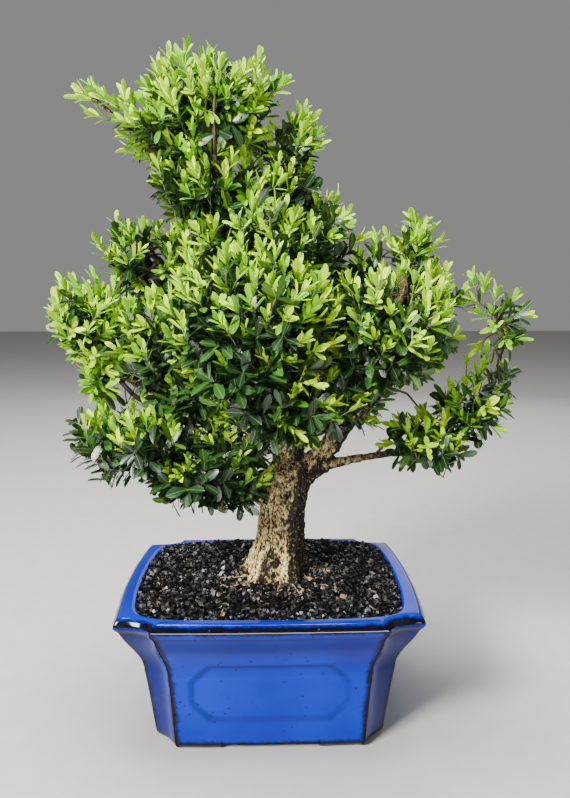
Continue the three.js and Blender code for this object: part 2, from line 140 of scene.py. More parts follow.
# ---- Materials -----------------------------------------------------------------------------------
class Look:
    """A Principled material, with a short call for each kind of node used below."""

    def __init__(self, name):
        self.material = bpy.data.materials.new(name)
        self.material.use_nodes = True
        self.tree = self.material.node_tree
        self.principled = self.tree.nodes["Principled BSDF"]
        self.place = self.node("ShaderNodeTexCoord", {}).outputs["Object"]

    def node(self, kind, inputs, **settings):
        node = self.tree.nodes.new(kind)
        for name, value in settings.items():
            setattr(node, name, value)
        for name, value in inputs.items():
            self.feed(node.inputs[name], value)
        return node

    def feed(self, socket, value):
        if isinstance(value, bpy.types.NodeSocket):
            self.tree.links.new(value, socket)
        else:
            colour = isinstance(value, tuple) and socket.type == "RGBA"
            socket.default_value = (*value, 1) if colour else value

    def noise(self, scale, detail=3, roughness=0.5, place=None):
        inputs = {"Vector": place or self.place, "Scale": scale, "Detail": detail, "Roughness": roughness}
        return self.node("ShaderNodeTexNoise", inputs).outputs["Fac"]

    def cells(self, scale):
        return self.node("ShaderNodeTexVoronoi", {"Vector": self.place, "Scale": scale}).outputs["Distance"]

    def stretch(self, scale):
        return self.node("ShaderNodeMapping", {"Vector": self.place, "Scale": scale}).outputs["Vector"]

    def ramp(self, value, stops):
        node = self.node("ShaderNodeValToRGB", {"Fac": value})
        elements = node.color_ramp.elements
        while len(elements) < len(stops):
            elements.new(0.5)
        for element, (position, colour) in zip(elements, stops):
            element.position = position
            element.color = (*colour, 1) if isinstance(colour, tuple) else (colour, colour, colour, 1)
        return node.outputs["Color"]

    def mix(self, factor, a, b, blend="MIX"):
        inputs = {"Factor": factor, "A": a, "B": b}
        return self.node("ShaderNodeMix", inputs, data_type="RGBA", blend_type=blend).outputs["Result"]

    def add(self, a, b):
        return self.maths("ADD", a, b)

    def times(self, a, b):
        return self.maths("MULTIPLY", a, b)

    def maths(self, operation, a, b=0.0):
        return self.node("ShaderNodeMath", {0: a, 1: b}, operation=operation).outputs[0]

    def spread(self, value, low, high, to_low=0.0, to_high=1.0):
        """Eases from to_low to to_high as value runs from low to high."""
        inputs = {"Value": value, "From Min": low, "From Max": high, "To Min": to_low, "To Max": to_high}
        return self.node("ShaderNodeMapRange", inputs, interpolation_type="SMOOTHSTEP").outputs["Result"]

    def attribute(self, name):
        """The three channels of a painted attribute."""
        colour = self.node("ShaderNodeAttribute", {}, attribute_name=name).outputs["Color"]
        split = self.node("ShaderNodeSeparateColor", {"Color": colour})
        return [split.outputs[channel] for channel in ("Red", "Green", "Blue")]

    def bump(self, height, strength, distance):
        inputs = {"Strength": strength, "Distance": distance, "Height": height}
        return self.node("ShaderNodeBump", inputs).outputs["Normal"]

    def set(self, **values):
        sockets = {
            "base_color": "Base Color",
            "roughness": "Roughness",
            "normal": "Normal",
            "metallic": "Metallic",
            "specular": "Specular IOR Level",
        }
        for name, value in values.items():
            self.feed(self.principled.inputs[sockets[name]], value)
        return self.material


def glaze_material():
    look = Look("glaze")
    edge, hollow, bare = look.attribute("wear_and_shade")
    cloud = look.noise(scale=22, detail=3)
    blue = look.ramp(cloud, [(0.30, (0.0003, 0.0125, 0.31)), (0.70, (0.0005, 0.0255, 0.44))])
    # Deep blue where the glaze pools, and painted shade in the cove under the lip, under the bead and in the
    # corner scoops.
    pooled_and_shaded = look.mix(hollow, blue, (0.0004, 0.002, 0.05))
    # Where the glaze runs thin over sharp edges it breaks to dark brown; the same dark brown under the corner
    # ears is painted shade.
    grain = look.times(look.noise(scale=420, detail=5), 0.7)
    swell = look.times(look.noise(scale=70, detail=2), 0.5)
    ragged = look.maths("SUBTRACT", look.add(edge, look.add(grain, swell)), 0.25)
    broken = look.spread(ragged, 0.78, 0.94)
    thin = look.spread(ragged, 0.45, 0.80)
    thin_glaze = look.mix(look.times(thin, 0.85), pooled_and_shaded, (0.001, 0.004, 0.06))
    brown = [(0.45, (0.0012, 0.0012, 0.004)), (0.80, (0.010, 0.006, 0.006))]
    with_edges = look.mix(broken, thin_glaze, look.ramp(look.noise(scale=600), brown))
    # Small iron specks, in loose groups.
    grouped = look.spread(look.noise(scale=48, detail=2), 0.54, 0.60)
    specks = look.times(look.spread(look.cells(scale=210), 0.20, 0.11), grouped)
    specked = look.mix(specks, with_edges, (0.007, 0.010, 0.045))
    clay_grain = look.noise(scale=420, detail=5)
    clay = look.ramp(clay_grain, [(0.3, (0.060, 0.022, 0.012)), (0.7, (0.17, 0.066, 0.034))])
    coloured = look.mix(bare, specked, clay)
    dull = look.maths("MAXIMUM", bare, look.times(broken, 0.04))
    roughness = look.spread(dull, 0.0, 1.0, 0.10, 0.72)
    ripple = look.add(look.noise(scale=45, detail=2), look.times(specks, -0.5))
    normal = look.bump(ripple, 0.35, 0.0006)
    return look.set(base_color=coloured, roughness=roughness, normal=normal, specular=0.24)


def grit_material():
    look = Look("soil")
    tone, warmth, _ = look.attribute("grain")
    greys = [(0.0, 0.0005), (0.40, 0.0025), (0.68, 0.018), (0.86, 0.11), (1.0, 0.50)]
    black = look.ramp(tone, greys)
    warm = look.mix(warmth, black, (0.50, 0.36, 0.21))
    dust = look.noise(scale=1500, detail=4)
    mottled = look.mix(0.6, warm, look.ramp(dust, [(0.3, 0.35), (0.75, 1.0)]), "MULTIPLY")
    return look.set(base_color=mottled, roughness=0.36, normal=look.bump(dust, 0.4, 0.0005), specular=0.3)


def bark_material():
    look = Look("bark")
    height, painted_shade_side, age = look.attribute("wood")
    flake = look.noise(scale=800, detail=5, roughness=0.62, place=look.stretch((1, 1, 0.55)))
    lifted = look.add(look.times(height, 0.55), 0.24)
    rise = look.add(lifted, look.times(look.maths("SUBTRACT", flake, 0.5), 1.7))
    black, brown, gold = (0.006, 0.004, 0.003), (0.060, 0.036, 0.014), (0.50, 0.33, 0.10)
    straw, cream = (0.94, 0.72, 0.31), (1.0, 0.95, 0.62)
    old = look.ramp(rise, [(0.30, black), (0.41, brown), (0.50, gold), (0.62, straw), (0.84, cream)])
    umber, chestnut, tan = (0.020, 0.011, 0.005), (0.13, 0.075, 0.034), (0.42, 0.29, 0.15)
    young = look.ramp(rise, [(0.28, umber), (0.52, chestnut), (0.82, tan)])
    wood = look.mix(age, young, old)
    # Painted shade: the side turned away from the key light is darkened, and some bright flakes are left in
    # it.
    dark = look.times(painted_shade_side, look.spread(flake, 0.59, 0.68, 0.98, 0.45))
    shaded = look.mix(dark, wood, (0.016, 0.014, 0.012), "MULTIPLY")
    fine = look.noise(scale=900, detail=5, roughness=0.7)
    relief = look.add(flake, look.times(fine, 0.35))
    normal = look.bump(relief, 0.9, 0.0012)
    return look.set(base_color=shaded, roughness=0.88, normal=normal, specular=0.25)


def twig_material():
    look = Look("twig")
    tone, _, _ = look.attribute("twig")
    colour = look.mix(tone, (0.10, 0.070, 0.035), (0.22, 0.34, 0.05))
    mottle = look.ramp(look.noise(scale=700), [(0.3, 0.45), (0.7, 1.0)])
    mottled = look.mix(0.5, colour, mottle, "MULTIPLY")
    return look.set(base_color=mottled, roughness=0.7)


def root_material():
    look = Look("rootlet")
    tan = look.ramp(look.noise(scale=500), [(0.3, (0.17, 0.095, 0.045)), (0.7, (0.58, 0.42, 0.24))])
    return look.set(base_color=tan, roughness=0.8)


def leaf_material():
    look = Look("leaf")
    newness, tint, _ = look.attribute("leaf")
    along, across, side = look.attribute("blade")
    from_rib = look.maths("ABSOLUTE", look.maths("SUBTRACT", across, 0.5))
    deep_greens = (0.005, 0.020, 0.009), (0.010, 0.043, 0.012), (0.026, 0.098, 0.014)
    old = look.ramp(tint, list(zip((0.0, 0.5, 1.0), deep_greens)))
    limes = (0.24, 0.58, 0.0005), (0.44, 0.79, 0.0005), (0.68, 0.93, 0.004)
    young = look.ramp(tint, list(zip((0.0, 0.5, 1.0), limes)))
    middle = look.ramp(tint, [(0.0, (0.045, 0.22, 0.008)), (1.0, (0.19, 0.48, 0.010))])
    blade = look.mix(look.spread(newness, 0.1, 0.5), old, middle)
    blade = look.mix(look.spread(newness, 0.45, 0.95), blade, young)
    mottle = look.noise(scale=420, detail=3)
    blade = look.mix(0.35, blade, look.ramp(mottle, [(0.3, 0.62), (0.7, 1.0)]), "MULTIPLY")
    rib = look.spread(from_rib, 0.055, 0.015)
    blade = look.mix(look.times(rib, 0.5), blade, look.mix(0.5, blade, (0.36, 0.52, 0.05)))
    margin = look.spread(from_rib, 0.42, 0.5)
    blade = look.mix(look.times(margin, 0.25), blade, (0.38, 0.50, 0.05))
    # The underside is paler.
    blade = look.mix(look.times(side, 0.6), blade, look.mix(0.5, blade, (0.24, 0.42, 0.03)))
    roughness = look.spread(newness, 0.0, 1.0, 0.30, 0.46)
    vein = look.maths("SINE", look.add(look.times(along, 60), look.times(from_rib, -26)))
    relief = look.add(look.times(vein, 0.15), look.times(rib, -1.0))
    normal = look.bump(relief, 0.35, 0.0002)
    gloss = look.spread(newness, 0.1, 0.7, 0.5, 0.16)
    return look.set(base_color=blade, roughness=roughness, normal=normal, specular=gloss)


def screen_material():
    look = Look("screen")
    black = look.ramp(look.noise(scale=900), [(0.3, (0.010, 0.011, 0.012)), (0.7, (0.022, 0.023, 0.026))])
    return look.set(base_color=black, roughness=0.62)


def wire_material():
    look = Look("wire")
    grain = look.noise(scale=1200, detail=4)
    grey = look.ramp(grain, [(0.3, (0.42, 0.41, 0.38)), (0.7, (0.66, 0.65, 0.62))])
    roughness = look.spread(grain, 0.3, 0.7, 0.3, 0.5)
    return look.set(base_color=grey, roughness=roughness, metallic=0.9)


# ---- Mesh helpers --------------------------------------------------------------------------------
def add_mesh(name, vertices, faces, material, nodes=(), smooth=True):
    """A piece of the visual model, which stands for the CAD nodes named."""
    mesh = bpy.data.meshes.new(name)
    if isinstance(faces, np.ndarray):
        mesh.vertices.add(len(vertices))
        mesh.vertices.foreach_set("co", np.asarray(vertices, dtype=np.float32).ravel())
        corners = faces.shape[1]
        mesh.loops.add(faces.size)
        mesh.loops.foreach_set("vertex_index", faces.ravel().astype(np.int32))
        mesh.polygons.add(len(faces))
        mesh.polygons.foreach_set("loop_start", np.arange(0, faces.size, corners, dtype=np.int32))
        mesh.update(calc_edges=True)
    else:
        mesh.from_pydata([tuple(v) for v in vertices], [], faces)
        mesh.update()
    mesh.validate()
    set_smooth(mesh, smooth)
    mesh.materials.append(material)
    piece = add_object(name, mesh)
    register(piece, nodes)
    return piece


def register(piece, nodes=()):
    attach(piece, "root")
    if nodes:
        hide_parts(*nodes)


def paint(mesh, name, values):
    """Stores three numbers per vertex as a colour attribute."""
    layer = mesh.color_attributes.new(name, "FLOAT_COLOR", "POINT")
    colours = np.ones((len(mesh.vertices), 4), dtype=np.float32)
    colours[:, : values.shape[1]] = values
    layer.data.foreach_set("color", colours.ravel())


def read(items, key, width, kind=np.float32):
    values = np.empty(len(items) * width, dtype=kind)
    items.foreach_get(key, values)
    return values.reshape(-1, width)


def points_of(mesh):
    return read(mesh.vertices, "co", 3).astype(float)


def normals_of(mesh):
    return read(mesh.vertex_normals, "vector", 3)


def edges_of(mesh):
    """The two vertices of each edge."""
    return read(mesh.edges, "vertices", 2, np.int32)


def set_smooth(mesh, smooth=True):
    mesh.polygons.foreach_set("use_smooth", [smooth] * len(mesh.polygons))


def apply_modifiers(piece):
    graph = bpy.context.evaluated_depsgraph_get()
    mesh = bpy.data.meshes.new_from_object(piece.evaluated_get(graph))
    piece.modifiers.clear()
    piece.data = mesh


def smoothstep(value, low, high):
    t = np.clip((value - low) / (high - low), 0, 1)
    return t * t * (3 - 2 * t)


def gaussian(value, middle, width):
    return np.exp(-(((value - middle) / width) ** 2))


def field(points, scale, seed, octaves):
    """Smooth noise from about -1 to 1 at each point."""
    shift = Vector((seed * 17.3, seed * 5.9, seed * 11.1))
    return np.array([noise.fractal(Vector(p) * scale + shift, 0.6, 2.0, octaves) for p in points])


def convexity(mesh, rounds):
    """How far each point stands out from its neighbours, in metres, evened out over some rounds."""
    points = points_of(mesh)
    a, b = edges_of(mesh).T
    count = np.bincount(a, minlength=len(points)) + np.bincount(b, minlength=len(points))
    mean = np.zeros_like(points)
    np.add.at(mean, a, points[b])
    np.add.at(mean, b, points[a])
    mean /= np.maximum(count, 1)[:, None]
    rise = ((points - mean) * normals_of(mesh)).sum(1)
    for _ in range(rounds):
        total = np.zeros(len(points))
        np.add.at(total, a, rise[b])
        np.add.at(total, b, rise[a])
        rise = 0.5 * rise + 0.5 * total / np.maximum(count, 1)
    return rise


def closed_loft(rings):
    """Vertices and faces of a closed solid through rings of points with equal counts, lowest first."""
    count = len(rings[0])
    vertices = np.concatenate(rings)
    index = np.arange(count)
    following = np.roll(index, -1)
    faces = []
    for level in range(len(rings) - 1):
        low, high = level * count, (level + 1) * count
        faces.append(np.stack([low + index, low + following, high + following, high + index], 1))
    faces = [tuple(face) for face in np.concatenate(faces).tolist()]
    last = (len(rings) - 1) * count
    faces.append(tuple(reversed(range(count))))
    faces.append(tuple(range(last, last + count)))
    return vertices, faces


def in_copies(faces, count, points_each):
    """The triangles of one small mesh, for a row of count copies of its points."""
    return (np.array(faces)[None] + (np.arange(count) * points_each)[:, None, None]).reshape(-1, 3)


# ---- The pot -------------------------------------------------------------------------------------
TAPER = 21.5 * MM
SIDE_SHARE = 0.96  # of the front's taper, for the sides
SIDE_BOW = 4.5 * MM
FRONT_BOW = 1.5 * MM
LIP = 4 * MM
COVE = 42 * MM  # height of the flare under the lip
COVE_SHARE = 0.7  # of the taper, which the flare takes
CORNER_AT_RIM = 25.5 * MM
CORNER_AT_BASE = 15 * MM
NOTCH_AT_RIM = 12 * MM
NOTCH_AT_BASE = 17 * MM
RIM_SIDE = 11 * MM
RIM_FRONT = 9 * MM
WALL = 7.5 * MM
OUTER_ROLL = 4.0  # mm, like the two below
INNER_ROLL = 2.8
LIP_BULGE = 2.1
PANEL_SINK = 1.0 * MM
PANEL_REACH = 24 * MM  # from the front lip back to behind the panel
PANEL_TOP = 65 * MM
PANEL_BOTTOM = 23 * MM
PANEL_CHAMFER = 13 * MM
PANEL_MARGIN = 10.5 * MM
DRAIN_RADIUS = 9 * MM
DRAIN_SIDES = 48
FOOT = 5 * MM
FOOT_LENGTH = 46 * MM
FOOT_DEPTH = 36 * MM
TIP_X = HALF_X - SIDE_BOW
COVE_TOP = POT_HEIGHT - LIP


def wall_inset(z):
    """How far the wall stands in from the lip at z: a long flare under the lip, then nearly flat."""
    flare = np.sin(np.clip((COVE_TOP - z) / COVE, 0, 1) * math.pi / 2) ** 2
    below = np.clip((COVE_TOP - COVE - z) / (COVE_TOP - COVE), 0, 1) ** 0.9
    return TAPER * (COVE_SHARE * flare + (1 - COVE_SHARE) * below)


def mix(a, b, t):
    return a + (b - a) * t


def packed(count):
    """Numbers from 0 to 1, closer together near both ends."""
    t = np.linspace(0, 1, count)
    return mix(t, 0.5 - 0.5 * np.cos(math.pi * t), 0.7)


def mirrored(quarter):
    """The whole outline from its quarter, which runs from the +X side to the +Y side."""
    left = quarter[::-1] * (-1, 1)
    half = np.concatenate([quarter, left[1:]])
    return np.concatenate([half, (half[::-1] * (1, -1))[1:-1]])


def corner_at(z):
    """The corner tip, the front wall's place and the end of the front panel, at z."""
    inset = wall_inset(z)
    notch = mix(NOTCH_AT_RIM, NOTCH_AT_BASE, 1 - z / POT_HEIGHT)
    tip_x = TIP_X - SIDE_SHARE * inset
    front = HALF_Y - inset
    panel_x = tip_x - mix(CORNER_AT_RIM, CORNER_AT_BASE, inset / TAPER)
    return tip_x, front - notch, front, panel_x


def outer_outline(z, extra, counts):
    """The pot's outline at z, drawn in by extra, with so many points on a quarter's side, scoop and panel."""
    tip_x, tip_y, front, panel_x = (value - extra for value in corner_at(z))
    notch = front - tip_y
    bow = SIDE_BOW - 0.15 * wall_inset(z)
    power = mix(2.0, 1.25, float(smoothstep(1 - z / POT_HEIGHT, 0, 0.8)))
    t = packed(counts[0])[:-1]
    side = np.stack([tip_x + bow * (1 - t * t), tip_y * t], 1)
    t = packed(counts[1])[:-1]
    scoop = np.stack([tip_x - (tip_x - panel_x) * (1 - (1 - t) ** power), tip_y + notch * t**power], 1)
    t = packed(counts[2])[::-1]
    panel = np.stack([panel_x * t, front - FRONT_BOW * t * t], 1)
    return mirrored(np.concatenate([side, scoop, panel]))


def softened(coarse, fine, radius):
    """Each point of coarse moved to the average of the closed line fine round it, so corners are rounded."""
    length = np.linalg.norm(np.roll(fine, -1, 0) - fine, axis=1)
    distance = np.linalg.norm(coarse[:, None] - fine[None], axis=2)
    weight = np.exp(-0.5 * (distance / radius) ** 2) * (length + np.roll(length, 1))[None]
    return (weight[:, :, None] * fine[None]).sum(1) / weight.sum(1)[:, None]


def outer_ring(z, extra):
    coarse = outer_outline(z, extra, (34, 26, 62))
    fine = outer_outline(z, extra, (120, 90, 160))
    ring = softened(coarse, fine, 0.9 * MM)
    return np.column_stack([ring + POT_CENTRE[:2], np.full(len(ring), z)])


# A quarter of the hollow's outline, as shares of its half length and half depth.
HOLLOW_QUARTER = [(1, 0), (0.99, 0.4), (0.96, 0.72), (0.92, 0.86)]
HOLLOW_QUARTER += [(0.82, 0.945), (0.6, 0.985), (0.3, 0.997), (0, 1)]


def inner_ring(z, extra, height=None):
    """The hollow's outline at z, drawn in by extra, and set at another height where one is given."""
    inset = wall_inset(z)
    below_lip = float(smoothstep(inset, 0, TAPER * COVE_SHARE))
    half_x = HALF_X - mix(RIM_SIDE, WALL + 2 * MM, below_lip) - 0.95 * inset - extra
    half_y = HALF_Y - mix(RIM_FRONT, WALL, below_lip) - inset - extra
    line = mirrored(np.array(HOLLOW_QUARTER) * (half_x, half_y))
    closed = np.vstack([line, line[:1]])
    run = np.concatenate([[0], np.cumsum(np.linalg.norm(np.diff(closed, axis=0), axis=1))])

    def sampled(count):
        at = np.linspace(0, run[-1], count, endpoint=False)
        return np.stack([np.interp(at, run, closed[:, axis]) for axis in (0, 1)], 1)

    ring = softened(sampled(260), sampled(900), 4 * MM)
    return np.column_stack([ring + POT_CENTRE[:2], np.full(len(ring), z if height is None else height)])


def octagon_depth(points):
    """How far inside the sunk octagon's outline each point lies, seen from the front."""
    right = TIP_X - SIDE_SHARE * TAPER - CORNER_AT_BASE - PANEL_MARGIN
    x = np.abs(points[:, 0] - POT_CENTRE[0])
    up = np.abs(points[:, 2] - (PANEL_TOP + PANEL_BOTTOM) / 2)
    half_height = (PANEL_TOP - PANEL_BOTTOM) / 2
    slanted = (right + half_height - PANEL_CHAMFER - x - up) / math.sqrt(2)
    return np.minimum(np.minimum(right - x, half_height - up), slanted)


def cut_away(piece, vertices, faces):
    """Cuts the closed solid out of the piece."""
    mesh = bpy.data.meshes.new("cutter")
    mesh.from_pydata([tuple(v) for v in vertices], [], faces)
    mesh.update()
    cutter = add_object("cutter", mesh)
    modifier = piece.modifiers.new("cut", "BOOLEAN")
    modifier.operation = "DIFFERENCE"
    modifier.solver = "MANIFOLD"
    modifier.object = cutter
    apply_modifiers(piece)
    bpy.data.objects.remove(cutter)


BOX_SIDES = [(0, 2, 3, 1), (4, 5, 7, 6), (0, 1, 5, 4), (2, 6, 7, 3), (0, 4, 6, 2), (1, 3, 7, 5)]


def box(low, high):
    corners = [(x, y, z) for z in (low[2], high[2]) for y in (low[1], high[1]) for x in (low[0], high[0])]
    return corners, BOX_SIDES


def lip_roll(z):
    """How far the rolled lip stands proud of the flare at z, both in mm."""
    return LIP_BULGE * math.exp(-(((z - 93.2) / 3.3) ** 2))


def outer_levels():
    """Heights up the pot's outside, and how far its wall is drawn in at each, in mm."""
    levels = [(0, 4.2), (0.4, 2.8), (1.2, 1.6), (2.4, 0.7), (4.0, 0.15)]
    for first, last, step in ((5.6, 14, 1.7), (15, 71, 1.0), (72.2, 84, 1.3)):
        levels += [(z, 0.0) for z in np.arange(first, last, step)]
    levels += [(z, -lip_roll(z)) for z in np.arange(84.5, 95.6, 0.9)]
    for angle in np.linspace(0.05, 1, 8) * math.pi / 2:
        z = 100 - OUTER_ROLL + OUTER_ROLL * math.sin(angle)
        levels.append((z, OUTER_ROLL * (1 - math.cos(angle)) - lip_roll(z)))
    return levels


def hollow_rings():
    """Outlines of the hollow, from the pot's floor to just above its rounded rim."""
    rings = [inner_ring(z * MM, extra * MM) for z, extra in ((12, 2.5), (13, 0.6))]
    rings += [inner_ring(z * MM, 0.0) for z in (16, 22, 32, 44, 56, 66, *range(70, 95, 3), 96.5)]
    for angle in np.linspace(0.15, 1, 6) * math.pi / 2:
        height = 100 - INNER_ROLL + INNER_ROLL * math.sin(angle)
        rings.append(inner_ring(96.5 * MM, -INNER_ROLL * (1 - math.cos(angle)) * MM, height * MM))
    rings.append(inner_ring(96.5 * MM, -(INNER_ROLL + 0.4) * MM, 102 * MM))
    return rings


def make_pot():
    vertices, faces = closed_loft([outer_ring(z * MM, extra * MM) for z, extra in outer_levels()])
    facing = np.where(vertices[:, 1] < POT_CENTRE[1], 1.0, -1.0)
    on_panel = np.abs(vertices[:, 1] - POT_CENTRE[1]) > HALF_Y - PANEL_REACH
    sunk = smoothstep(octagon_depth(vertices), -1.5 * MM, 2.2 * MM) * on_panel
    vertices[:, 1] += facing * sunk * PANEL_SINK
    sway = field(vertices, 26, seed=3, octaves=2)
    outward = (vertices - POT_CENTRE) * (1, 1, 0)
    outward /= np.linalg.norm(outward, axis=1)[:, None]
    vertices += outward * (sway * 0.35 * MM - 0.15 * MM)[:, None]
    pot = add_mesh("glazed_pot", vertices, faces, glaze_material(), ["pot"])

    cut_away(pot, *closed_loft(hollow_rings()))
    x, y = POT_CENTRE[:2]
    under, beyond = -10 * MM, 200 * MM
    arch_x = TIP_X - SIDE_SHARE * TAPER - FOOT_LENGTH
    arch_y = HALF_Y - TAPER - FOOT_DEPTH
    for half_x, half_y in ((arch_x, beyond), (beyond, arch_y)):
        cut_away(pot, *box((x - half_x, y - half_y, under), (x + half_x, y + half_y, FOOT)))
    turn = np.linspace(0, 2 * math.pi, DRAIN_SIDES, endpoint=False)
    circle = DRAIN_RADIUS * np.stack([np.cos(turn), np.sin(turn)], 1)
    for side in ("left", "right"):
        low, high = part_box(f"{side}_drain_screen")
        at = circle + ((low[0] + high[0]) / 2, y)
        rings = [np.column_stack([at, np.full(DRAIN_SIDES, z)]) for z in (under, 20 * MM)]
        cut_away(pot, *closed_loft(rings))
    finish_pot(pot)


def finish_pot(pot):
    """Marks where the glaze runs thin, where it pools, where shade is painted, and where the clay is bare."""
    mesh = pot.data
    set_smooth(mesh)
    mesh.set_sharp_from_angle(angle=math.radians(50))
    points = points_of(mesh)
    normals = normals_of(mesh)
    up = normals[:, 2]
    from_centre = points - POT_CENTRE
    outer = (normals[:, :2] * from_centre[:, :2]).sum(1) > 0
    x, y = np.abs(from_centre[:, 0]), np.abs(from_centre[:, 1])
    z = points[:, 2]
    tip_x, tip_y, front, panel_x = corner_at(z)
    on_corner = outer & (x > panel_x + 1 * MM) & (y > tip_y - 1 * MM)

    rise = convexity(mesh, rounds=2)
    base_edge = np.clip(rise / (0.085 * MM), 0, 1) * (1 - smoothstep(z, 6 * MM, 10 * MM))
    lip_edge = gaussian(z, 96 * MM, 2.5 * MM) * (up < 0.86) * outer
    panel_end = gaussian(np.hypot(x - panel_x, y - front), 0, 3.5 * MM)
    corner_tip = 0.9 * gaussian(np.hypot(x - tip_x, y - tip_y), 0, 2.9 * MM)
    uprights = np.maximum(panel_end, corner_tip) * (1 - 0.35 * smoothstep(z, 86 * MM, 94 * MM))
    # Painted shade under the corner ears, darkened like broken glaze, and under the lip's bead, darkened like
    # pooled glaze.
    ear_shade = gaussian(z, 88.5 * MM, 2.8 * MM) * on_corner
    bead_shade = gaussian(z, 89.3 * MM, 1.6 * MM) * outer
    edge = np.maximum.reduce([0.8 * base_edge, 0.85 * lip_edge, 0.9 * uprights, 0.62 * ear_shade])

    # Pooled glaze in creases and in the octagon's groove; the groove is darker along its top and bottom than
    # its sides as painted shade.
    crease = np.clip(-rise / (0.06 * MM), 0, 1)
    groove = gaussian(octagon_depth(points), 0.3 * MM, 1.6 * MM) * (y > HALF_Y - PANEL_REACH)
    groove *= 0.35 + 0.65 * smoothstep(np.abs(z - (PANEL_TOP + PANEL_BOTTOM) / 2), 4 * MM, 18 * MM)
    # Painted shade in the cove under the lip and in the corner scoops.
    cove_shade = gaussian(z, 82.5 * MM, 7.2 * MM) * outer
    in_scoop = np.minimum(x - panel_x, 2.2 * (tip_x - x))
    scoop = smoothstep(in_scoop, -1 * MM, 7 * MM) * on_corner * (z < 94 * MM)
    hollow = np.maximum.reduce([0.5 * crease, 0.6 * groove, 0.66 * cove_shade, 0.8 * scoop, 0.8 * bead_shade])
    bare = ((z < 0.6 * MM) | ((z < FOOT + 0.2 * MM) & (up < -0.9))).astype(float)
    paint(mesh, "wear_and_shade", np.clip(np.stack([edge, hollow, bare], 1), 0, 1))


# ---- Soil ----------------------------------------------------------------------------------------
# The grit's grades: smallest and largest size in mm, and how many places are tried.
GRADES = ((1.6, 2.5, 4600), (1.2, 1.8, 3600), (0.7, 1.0, 1500))
SEARCH_ABOVE = 50 * MM  # where rays start, over the top of the mound
SOIL_REACH = 35 * MM  # from the top of the mound down to its lowest open surface
DARK_TONE_TOP = 0.87  # the palest tone of the dark grains
PALE_SHARE = 0.045
WHITE_SHARE = 0.008
CREAM_REACH = 9 * MM  # from the wood


def shard():
    """A cube's corners and its triangles."""
    corners, sides = box((-1, -1, -1), (1, 1, 1))
    faces = [triangle for a, b, c, d in sides for triangle in ((a, b, c), (a, c, d))]
    return np.array(corners) / math.sqrt(3), np.array(faces)


def random_turns(random, count):
    """Rotation matrices, evenly spread."""
    q = random.normal(size=(count, 4))
    q /= np.linalg.norm(q, axis=1)[:, None]
    w, x, y, z = q.T
    rows = [
        [1 - 2 * (y * y + z * z), 2 * (x * y - z * w), 2 * (x * z + y * w)],
        [2 * (x * y + z * w), 1 - 2 * (x * x + z * z), 2 * (y * z - x * w)],
        [2 * (x * z - y * w), 2 * (y * z + x * w), 1 - 2 * (x * x + y * y)],
    ]
    return np.array(rows).transpose(2, 0, 1)


def drop_onto(surface, x, y, z):
    """Where a plumb line from x, y, z meets the surface, or None."""
    return surface.ray_cast(Vector((x, y, z)), Vector((0, 0, -1)))[0]


def bvh_of(mesh):
    return BVHTree.FromPolygons([v.co for v in mesh.vertices], [p.vertices for p in mesh.polygons])


def scatter_grains(bed, wood, random):
    """Places on the bed, clear of the wood: each grain's centre, its size and its gap to the wood."""
    low, high = np.array(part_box("soil"))
    grains = []
    for smallest, largest, tries in GRADES:
        for _ in range(tries):
            x, y = random.uniform(low[:2], high[:2])
            size = random.uniform(smallest, largest) * MM
            hit = drop_onto(bed, x, y, high[2] + SEARCH_ABOVE)
            if hit is None or hit.z < high[2] - SOIL_REACH:
                continue
            centre = hit + Vector((0, 0, random.uniform(-0.6, 0.95) * size))
            gap = wood.find_nearest(centre)[3]
            if gap >= size * 0.5:
                grains.append((*centre, size, gap))
    grains = np.array(grains)
    return grains[:, :3], grains[:, 3], grains[:, 4]


def make_soil():
    """The grit's grains over the bed of soil. Returns the bed, for what lies on it."""
    random = np.random.default_rng(11)
    mesh = cad("soil")
    bed = bvh_of(mesh)
    places, sizes, near_wood = scatter_grains(bed, bvh_of(cad("trunk_and_branches")), random)
    corners, faces = shard()
    count, each = len(places), len(corners)
    lumps = corners[None] * random.uniform(0.65, 1.35, (count, each, 3))
    lumps = lumps * (random.uniform(0.5, 1.3, (count, 1, 3)) * sizes[:, None, None])
    lumps = np.einsum("nij,nkj->nki", random_turns(random, count), lumps) + places[:, None]
    tone = random.beta(1.2, 1.9, count) * DARK_TONE_TOP
    chance = random.random(count)
    # Pale and white grains: partly the grit's own pale grains, partly painted glints.
    tone[chance < PALE_SHARE] = random.uniform(0.80, 0.94, (chance < PALE_SHARE).sum())
    tone[chance < WHITE_SHARE] = 1.0
    cream = 0.012 + 0.22 * np.exp(-near_wood / CREAM_REACH)
    warm = (random.random(count) < cream) * random.uniform(0.3, 1.0, count)
    base = points_of(mesh)
    base_faces = np.array([polygon.vertices[:] for polygon in mesh.polygons])
    all_faces = np.concatenate([base_faces, in_copies(faces, count, each) + len(base)])
    vertices = np.concatenate([base, lumps.reshape(-1, 3)])
    soil = add_mesh("grit", vertices, all_faces, grit_material(), ["soil"], smooth=False)
    values = np.zeros((len(vertices), 3))
    # The bed between the grains is painted near black, as painted shade in the gaps.
    values[: len(base), 0] = 0.1
    values[len(base) :, 0] = np.repeat(tone, each)
    values[len(base) :, 1] = np.repeat(warm, each)
    paint(soil.data, "grain", values)
    return bed


# ---- Wood ----------------------------------------------------------------------------------------
TRUNK_RIGHT = 9 * MM  # of the pot's centre
YOUNG_FURROWS = 0.45 * MM
OLD_FURROWS = 2.1 * MM


